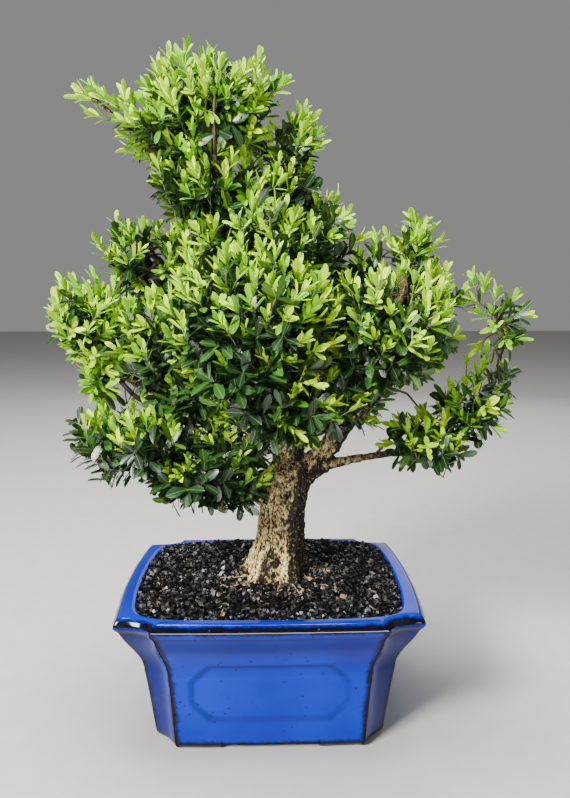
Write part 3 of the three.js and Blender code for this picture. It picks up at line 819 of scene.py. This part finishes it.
def make_wood():
    """The bark round the CAD wood: remeshed, then pushed in and out along its normals."""
    wood = add_object("wood", cad("trunk_and_branches").copy())
    rounded = wood.modifiers.new("rounded", "REMESH")
    rounded.mode = "VOXEL"
    rounded.voxel_size = 1.15 * MM
    relaxed = wood.modifiers.new("relaxed", "SMOOTH")
    relaxed.iterations = 5
    relaxed.factor = 0.6
    apply_modifiers(wood)
    mesh = wood.data
    points = points_of(mesh)
    normals = normals_of(mesh)
    from_axis = np.hypot(points[:, 0] - POT_CENTRE[0] - TRUNK_RIGHT, points[:, 1] - POT_CENTRE[1])
    near_axis = 1 - smoothstep(from_axis, 22 * MM, 75 * MM)
    old = near_axis * (1 - smoothstep(points[:, 2], 220 * MM, 340 * MM))
    # Corky plates with furrows between them, coarser on the trunk than on the limbs.
    stretched = points * (1, 1, 0.38)
    coarse = field(stretched, 150, seed=1, octaves=2)
    medium = field(stretched, 360, seed=2, octaves=2)
    fine = field(points, 650, seed=4, octaves=1)
    bumps = 0.40 * coarse + 0.65 * medium + 0.30 * fine
    depth = mix(YOUNG_FURROWS, OLD_FURROWS, old)
    points += normals * ((bumps - 0.12) * depth)[:, None]
    mesh.vertices.foreach_set("co", points.astype(np.float32).ravel())
    mesh.update()
    set_smooth(mesh)
    # Painted shade: bark whose normal turns to +X, away from the key light, is marked dark, with noisy
    # patches at its edge.
    patches = 0.25 * field(points, 60, seed=6, octaves=2) + 0.40 * field(points, 230, seed=7, octaves=2)
    painted_shade_side = smoothstep(normals[:, 0] + patches, -0.24, 0.20)
    height = np.clip(0.5 + 0.62 * bumps, 0, 1)
    paint(mesh, "wood", np.stack([height, painted_shade_side, old], 1))
    mesh.materials.clear()
    mesh.materials.append(bark_material())
    register(wood, ["trunk_and_branches"])
    return wood


# ---- Leaves and twigs ----------------------------------------------------------------------------
STATIONS = (0.14, 0.40, 0.70, 0.91)  # along the blade
HALF_WIDTHS = (0.40, 0.84, 1.0, 0.64)  # of the blade, which is widest towards its tip
BLADE_THICKNESS = 0.35 * MM


def leaf_template():
    """Rows of (across, along, fold, layer), the triangles, and the pairs of points on the blade's rim."""
    rows = [(0, 0, 0, 0)]
    for t, half in zip(STATIONS, HALF_WIDTHS):
        rows += [(-half, t, half, 0), (half, t, half, 0), (0, t, 0, 1), (0, t, 0, -1)]
    rows.append((0, 1, 0, 0))
    tip = len(rows) - 1
    faces, rim = [], []
    left, right, top, under = (1 + np.arange(4) * 4 + k for k in range(4))
    faces += [(0, right[0], top[0]), (0, top[0], left[0]), (0, under[0], right[0]), (0, left[0], under[0])]
    for i in range(3):
        j = i + 1
        faces += [(top[i], right[i], right[j]), (top[i], right[j], top[j])]
        faces += [(left[i], top[i], top[j]), (left[i], top[j], left[j])]
        faces += [(right[i], under[i], under[j]), (right[i], under[j], right[j])]
        faces += [(under[i], left[i], left[j]), (under[i], left[j], under[j])]
        rim += [(left[i], left[j]), (right[i], right[j])]
    faces += [(top[3], right[3], tip), (left[3], top[3], tip)]
    faces += [(right[3], under[3], tip), (under[3], left[3], tip)]
    rim += [(0, left[0]), (0, right[0]), (left[3], tip), (right[3], tip)]
    return np.array(rows, dtype=float), np.array(faces), {tuple(sorted(pair)) for pair in rim}


TEMPLATE, LEAF_FACES, LEAF_RIM = leaf_template()
PER_LEAF = len(TEMPLATE)
MIDDLE = 0.55  # where a leaf's middle is, along it


def unit(vectors):
    return vectors / np.maximum(np.linalg.norm(vectors, axis=-1, keepdims=True), 1e-9)


class Leaves:
    """Gathers the leaves of one branch, then turns them into one mesh."""

    def __init__(self):
        self.rows = []

    def add(self, base, along, face, length, width, droop, fold, newness, tint):
        self.rows.append((*base, *along, *face, length, width, droop, fold, newness, tint))

    def build(self, name, material, nodes):
        data = np.array(self.rows)
        data = data[~in_gap(data[:, 0:3] + unit(data[:, 3:6]) * data[:, 9:10] * MIDDLE)]
        base, along, face = data[:, 0:3], unit(data[:, 3:6]), data[:, 6:9]
        face = unit(face - (face * along).sum(1)[:, None] * along)
        across = np.cross(along, face)
        length, width, droop, fold, newness, tint = data[:, 9:].T
        u, t, lift, layer = TEMPLATE.T
        side = u[None] * width[:, None] / 2
        forward = t[None] * length[:, None]
        height = lift[None] * (fold * width)[:, None] - (t**2)[None] * (droop * length)[:, None]
        height = height + layer[None] * BLADE_THICKNESS / 2
        points = base[:, None] + across[:, None] * side[:, :, None] + along[:, None] * forward[:, :, None]
        points = points + face[:, None] * height[:, :, None]
        count = len(data)
        faces = in_copies(LEAF_FACES, count, PER_LEAF)
        mesh = add_mesh(name, points.reshape(-1, 3), faces, material, nodes).data
        paint(mesh, "leaf", np.repeat(np.stack([newness, tint], 1), PER_LEAF, axis=0))
        blade = np.stack([t, 0.5 + u / 2, (layer < 0).astype(float)], 1)
        paint(mesh, "blade", np.tile(blade, (count, 1)))
        # The blade shades as two smooth faces that meet at a sharp rim.
        local = np.sort(edges_of(mesh) % PER_LEAF, axis=1)
        on_rim = np.zeros((PER_LEAF, PER_LEAF), dtype=bool)
        for a, b in LEAF_RIM:
            on_rim[a, b] = True
        sharp = mesh.attributes.new("sharp_edge", "BOOLEAN", "EDGE")
        sharp.data.foreach_set("value", on_rim[local[:, 0], local[:, 1]])


class Twigs:
    """Gathers short tapered sticks with four sides, then turns them into one mesh."""

    def __init__(self):
        self.rows = []

    def stick(self, start, end, start_radius, end_radius, tone):
        self.rows.append((*start, *end, start_radius, end_radius, tone))

    def path(self, points, radii, tones):
        for k, tone in enumerate(tones):
            self.stick(points[k], points[k + 1], radii[k], radii[k + 1], tone)

    def build(self, name, material):
        data = np.array(self.rows)
        start, end = data[:, :3], data[:, 3:6]
        start_radius, end_radius, tone = data[:, 6:].T
        direction = unit(end - start)
        helper = np.where(np.abs(direction[:, 2:]) < 0.9, [[0, 0, 1.0]], [[1.0, 0, 0]])
        first = unit(np.cross(direction, helper))
        second = np.cross(direction, first)
        turn = np.linspace(0, 2 * math.pi, 4, endpoint=False)
        ring = first[:, None] * np.cos(turn)[None, :, None] + second[:, None] * np.sin(turn)[None, :, None]
        low = start[:, None] + ring * start_radius[:, None, None]
        high = end[:, None] + ring * end_radius[:, None, None]
        points = np.concatenate([low, high], 1).reshape(-1, 3)
        faces = [(3, 2, 1), (3, 1, 0), (4, 5, 6), (4, 6, 7)]
        for i in range(4):
            j = (i + 1) % 4
            faces += [(i, j, j + 4), (i, j + 4, i + 4)]
        piece = add_mesh(name, points, in_copies(faces, len(start), 8), material)
        tone = np.repeat(tone, 8)
        paint(piece.data, "twig", np.stack([tone, tone, tone], 1))


def surface_points(mesh, count, random):
    """Even random points on a mesh, with the faces' normals."""
    mesh.calc_loop_triangles()
    corners = np.array([triangle.vertices[:] for triangle in mesh.loop_triangles])
    a, b, c = points_of(mesh)[corners].transpose(1, 0, 2)
    cross = np.cross(b - a, c - a)
    area = np.linalg.norm(cross, axis=1)
    chosen = random.choice(len(corners), count, p=area / area.sum())
    r1, r2 = np.sqrt(random.random(count)), random.random(count)
    points = a[chosen] * (1 - r1)[:, None] + b[chosen] * (r1 * (1 - r2))[:, None]
    return points + c[chosen] * (r1 * r2)[:, None], unit(cross)[chosen]


def inside(solid, point):
    """How deep point lies inside the closed solid; negative outside it."""
    place, normal, _, distance = solid.find_nearest(Vector(point))
    return distance if (place - Vector(point)).dot(normal) > 0 else -distance


def distances(points, place):
    return np.sqrt(((points - place) ** 2).sum(1))


def thinned(points, spacing):
    """Indices of points, in order, that keep their distance from the ones chosen before."""
    cells, kept = {}, []
    for index, point in enumerate(points):
        x, y, z = key = tuple((point // spacing).astype(int))
        around = product((x - 1, x, x + 1), (y - 1, y, y + 1), (z - 1, z, z + 1))
        near = [other for cell in around for other in cells.get(cell, ())]
        if all(((point - other) ** 2).sum() > spacing * spacing for other in near):
            cells.setdefault(key, []).append(point)
            kept.append(index)
    return kept


TUFT_SPACING = 10 * MM
INNER_SPACING = 15 * MM
THIN = 26 * MM  # a mass thinner than this carries short shoots along its own length
COVERED = 5 * MM  # a shoot this near another mass would grow into it
OUTER_TRIES, INNER_TRIES = 2600, 1500
OUTER_LENGTH, INNER_LENGTH = (18, 31), (17, 26)  # of a shoot, in mm: from, to
INNER_DEPTHS = (7 * MM, 26 * MM)
PAIR_SPACING = 3.1 * MM
STEM_RADII = np.array((0.48, 0.42, 0.36, 0.26)) * MM  # from a stem's base to its tip
TWIG_STEP = 9 * MM
WOOD_MARGIN = 12 * MM  # round a mass, for the wood that its twigs may start from
# A leaf's length in mm, its width as a share of that, and its angle to the stem in degrees: from, to.
NEW_LEAF = ((8, 12.5), (0.27, 0.35), (12, 30))
OLD_LEAF = ((10.5, 15.5), (0.36, 0.45), (42, 68))
UP = np.array((0, 0, 1.0))
# Branches whose new growth is fuller, or sparser, than the others'.
LIGHTER = {
    "apex_leaves": 0.75,
    "neck_leaves": 0.2,
    "upper_left_leaves": 0.5,
    "left_tip_leaves": 0.9,
    "low_left_leaves": -0.4,
    "crown_leaves": 0.25,
    "right_upper_leaves": 0.6,
    "right_low_leaves": -0.1,
    "back_right_leaves": 0.4,
}
# Branches with more new pairs of leaves on each shoot, and a branch with half its shoots near the trunk.
LUSH = ("apex_leaves", "left_tip_leaves")
SPARSE = "right_low_leaves"
SPARSE_LEFT_OF = 84 * MM
# Openings among the leaves where wood shows: from a point on the wood outwards, and a radius, in mm.
GAPS = [
    ((82, -3, 308), (66, -93, 307), 11),
    ((-49, -30, 426), (-46, -72, 416), 6),
    ((-49, -28, 412), (-46, -72, 402), 6),
    ((-49, -25, 399), (-46, -70, 391), 6),
    ((-122, 37, 237), (-105, -53, 249), 9),
]
# Fine bare twigs: their points and their radius at each end, in mm.
BARE_TWIGS = [
    ([(-50, -10, 380), (-49, -24, 398), (-49, -33, 416), (-48, -37, 434)], 1.6, 0.9),
    ([(-100, -6, 229), (-110, -8, 236), (-119, -8, 246), (-128, -8, 258)], 1.9, 1.5),
    ([(62, -6, 250), (69, -8, 242), (84, -12, 237), (94, -15, 225), (100, -16, 213)], 1.0, 0.6),
    ([(62, -13, 193), (73, -16, 207), (88, -18, 215), (98, -19, 220)], 1.1, 0.6),
]


def in_gap(points):
    """Which of the points lie in one of the openings."""
    hit = np.zeros(len(points), dtype=bool)
    for start, end, radius in GAPS:
        start, end = np.array(start) * MM, np.array(end) * MM
        run = end - start
        t = np.clip((points - start) @ run / (run @ run), 0, 1)
        hit |= np.linalg.norm(points - start - t[:, None] * run, axis=1) < radius * MM
    return hit


def outer_shoots(name, masses, points, normals, random):
    """Shoots that stand on a mass: (tip, direction, how exposed it is, length)."""
    others = [mass for other, mass in masses.items() if other != name]
    centre = points.mean(0)
    shoots = []
    for index in thinned(points, TUFT_SPACING):
        point, normal = points[index], normals[index]
        if any(inside(mass, point + normal * COVERED) > 0 for mass in others):
            continue
        if name == SPARSE and point[0] < SPARSE_LEFT_OF and random.random() < 0.5:
            continue
        through = masses[name].ray_cast(Vector(point - normal * 0.3 * MM), Vector(-normal))[3] or 0
        away = unit(point - centre)
        if through > THIN:
            direction = unit(normal * 0.75 + UP * 0.55 + away * 0.3 + random.normal(size=3) * 0.28)
        else:
            direction = unit(normal * 0.35 + UP * 0.2 + away + random.normal(size=3) * 0.15)
        lumpy = noise.noise(Vector(point) * 38)
        tip = point + normal * np.clip(-1.5 + 9 * lumpy + random.normal(0, 3), -12, 7) * MM
        length = min(random.uniform(*OUTER_LENGTH) * MM, max(0.7 * through, 9 * MM))
        facing = normal[2] + LIGHTER.get(name, 0) + random.normal() * 0.5
        shoots.append((tip, direction, float(smoothstep(facing, -0.80, 0.35)), length))
    return shoots


def inner_shoots(mass, points, random):
    """Shaded shoots in the outer part of a mass, so that it doesn't look hollow."""
    shoots = []
    centre = points.mean(0)
    inner = random.uniform(points.min(0), points.max(0), (INNER_TRIES, 3))
    for index in thinned(inner, INNER_SPACING):
        point = inner[index]
        if INNER_DEPTHS[0] < inside(mass, point) < INNER_DEPTHS[1]:
            direction = unit(unit(point - centre) * 0.8 + UP * 0.35 + random.normal(size=3) * 0.5)
            shoots.append((point, direction, 0.0, random.uniform(*INNER_LENGTH) * MM))
    return shoots


def grow_leaves(leaves, tip, direction, exposed, length, lush, random):
    """Opposite pairs down a shoot: bright new ones at its tip, dark old ones below. Returns the stem."""
    bend = unit(np.cross(direction, random.normal(size=3))) * length * random.uniform(0.0, 0.16)
    base = tip - direction * length - UP * length * 0.15 + bend

    def stem(t):
        return base * (1 - t) ** 2 + (base * 0.5 + tip * 0.5 + bend) * 2 * t * (1 - t) + tip * t * t

    first = unit(np.cross(direction, random.normal(size=3)))
    second = np.cross(direction, first)
    turn = random.uniform(0, math.pi)
    fresh = exposed > 0.35
    pairs = int(np.clip(length / PAIR_SPACING, 3, 8))
    spacing = random.uniform(1.9, 3.9, pairs - 1) * MM / length
    places = 1 - np.concatenate([[0.0], np.cumsum(spacing)])
    new_pairs = random.integers(2, 6) + 2 * lush if fresh else 0
    tint = random.uniform(0, 1)
    for k, t in enumerate(places):
        turn += math.pi / 2 + random.normal() * 0.15
        point = stem(max(t, 0))
        ahead = unit(stem(max(t, 0) + 0.05) - point)
        young = k < new_pairs
        lengths, widths, openings = NEW_LEAF if young else OLD_LEAF
        for side in (0, math.pi):
            out = first * math.cos(turn + side) + second * math.sin(turn + side)
            opening = math.radians(random.uniform(*openings) + 10 * k * young)
            along = ahead * math.cos(opening) + out * math.sin(opening) + UP * (0.12 if young else -0.05)
            face = ahead * math.sin(opening) - out * math.cos(opening)
            face = face + UP * (0.45 if young else 0.75) + random.normal(size=3) * 0.12
            size = (random.uniform(*lengths) + 0.4 * k * young) * MM
            if exposed == 0.0:
                size *= 0.95
            width = size * random.uniform(*widths)
            if young:
                newness = np.clip(0.55 + 0.5 * exposed - 0.09 * k + random.normal() * 0.06, 0.45, 1)
            else:
                newness = np.clip(0.35 * exposed - 0.05 * k + random.normal() * 0.05, 0, 0.45)
            droop, fold = random.uniform(-0.06, 0.14), random.uniform(0.08, 0.2)
            shade = np.clip(tint + random.normal() * 0.2, 0, 1)
            leaves.add(point, along, face, size, width, droop, fold, newness, shade)
    return [stem(t) for t in (0, 0.34, 0.67, 1)], fresh


def make_foliage(wood):
    random = np.random.default_rng(5)
    names = [entry["node"] for entry in frame["record"]["subparts"] if entry["node"].endswith("_leaves")]
    masses = {name: bvh_of(cad(name)) for name in names}
    material = leaf_material()
    twigs = Twigs()
    bark = points_of(wood.data)[::7]
    for name in names:
        leaves = Leaves()
        points, normals = surface_points(cad(name), OUTER_TRIES, random)
        shoots = outer_shoots(name, masses, points, normals, random)
        shoots += inner_shoots(masses[name], points, random)
        stems = [grow_leaves(leaves, *shoot, name in LUSH, random) for shoot in shoots]
        leaves.build(name.replace("_leaves", "_foliage"), material, [name])
        join_twigs(twigs, stems, bark, name, random)
    for places, first_radius, last_radius in BARE_TWIGS:
        radii = np.linspace(first_radius, last_radius, len(places)) * MM
        twigs.path(np.array(places) * MM, radii, [0.0] * (len(places) - 1))
    twigs.build("twigs", twig_material())


def join_twigs(twigs, stems, bark, name, random):
    """Twigs to every stem of a mass, each from the nearest wood or earlier twig, and the stems themselves."""
    low, high = np.array(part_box(name))
    near = bark[((bark > low - WOOD_MARGIN) & (bark < high + WOOD_MARGIN)).all(1)]
    bases = np.array([stem[0] for stem, _ in stems])
    from_wood = np.array([distances(near, base).min() for base in bases])
    net, parents, load = [], [], []

    def extend(point, parent):
        net.append(point)
        parents.append(parent)
        load.append(0)
        return len(net) - 1

    for index in np.argsort(from_wood):
        base = bases[index]
        gaps, wood_gaps = distances(np.array(net).reshape(-1, 3), base), distances(near, base)
        if wood_gaps.min() < gaps.min(initial=1e9) * 1.1:
            parent = extend(near[wood_gaps.argmin()], None)
        else:
            parent = int(gaps.argmin())
        start = net[parent]
        gap = np.linalg.norm(base - start)
        steps = max(1, int(gap / TWIG_STEP))
        sag = random.normal(size=3) * gap * 0.07
        for t in np.arange(1, steps + 1) / steps:
            parent = extend(start + (base - start) * t + sag * 4 * t * (1 - t), parent)
        load[parent] += 1
    for index in reversed(range(len(net))):
        if parents[index] is not None:
            load[parents[index]] += load[index]
    # A twig is thicker the more stems it carries.
    radius = [min(2.0, 0.42 * carried**0.38) * MM for carried in load]
    for index, parent in enumerate(parents):
        if parent is not None:
            thick = max(radius[index], min(radius[parent], radius[index] * 1.25))
            twigs.stick(net[parent], net[index], thick, radius[index], 0.0)
    for stem, fresh in stems:
        twigs.path(stem, STEM_RADII, (0.25, 1.0, 1.0) if fresh else (0.25, 0.25, 0.25))


ROOTLETS = 10
ROOTLET_STEP = 2.6 * MM
ROOTLET_START = 21 * MM  # from the middle of the trunk's foot
FOOT_RIGHT = 4 * MM  # of the pot's centre
ABOVE_THE_GRIT = 200 * MM


def make_rootlets(bed):
    """Fine roots that wander out over the grit from the foot of the trunk."""
    random = np.random.default_rng(21)
    roots = Twigs()
    for _ in range(ROOTLETS):
        heading = random.uniform(math.radians(190), math.radians(370))
        foot = np.array((POT_CENTRE[0] + FOOT_RIGHT, POT_CENTRE[1]))
        spot = foot + np.array((math.cos(heading), math.sin(heading))) * ROOTLET_START
        radius = random.uniform(0.40, 0.75)
        previous = None
        steps = random.integers(8, 20)
        for step in range(steps):
            hit = drop_onto(bed, *spot, ABOVE_THE_GRIT)
            if hit is None:
                break
            lift = 3.0 * math.exp(-step / 2.2) + 1.2 + random.uniform(-0.7, 0.9)
            place = np.array(hit) + UP * lift * MM
            taper = radius * (1 - 0.6 * step / steps) * MM
            if previous is not None:
                roots.stick(previous[0], place, previous[1], taper, 0.0)
            previous = (place, taper)
            heading += random.normal() * 0.38
            spot = spot + np.array((math.cos(heading), math.sin(heading))) * ROOTLET_STEP
    roots.build("surface_rootlets", root_material())


def dress_screens():
    screen, wire = screen_material(), wire_material()
    for name, material in (("drain_screen", screen), ("screen_clip", wire)):
        for side in ("left", "right"):
            node = frame["nodes"][f"{side}_{name}"]
            node.data.materials.clear()
            node.data.materials.append(material)


make_camera()
make_lights()
make_floor()
make_pot()
make_rootlets(make_soil())
make_foliage(make_wood())
dress_screens()
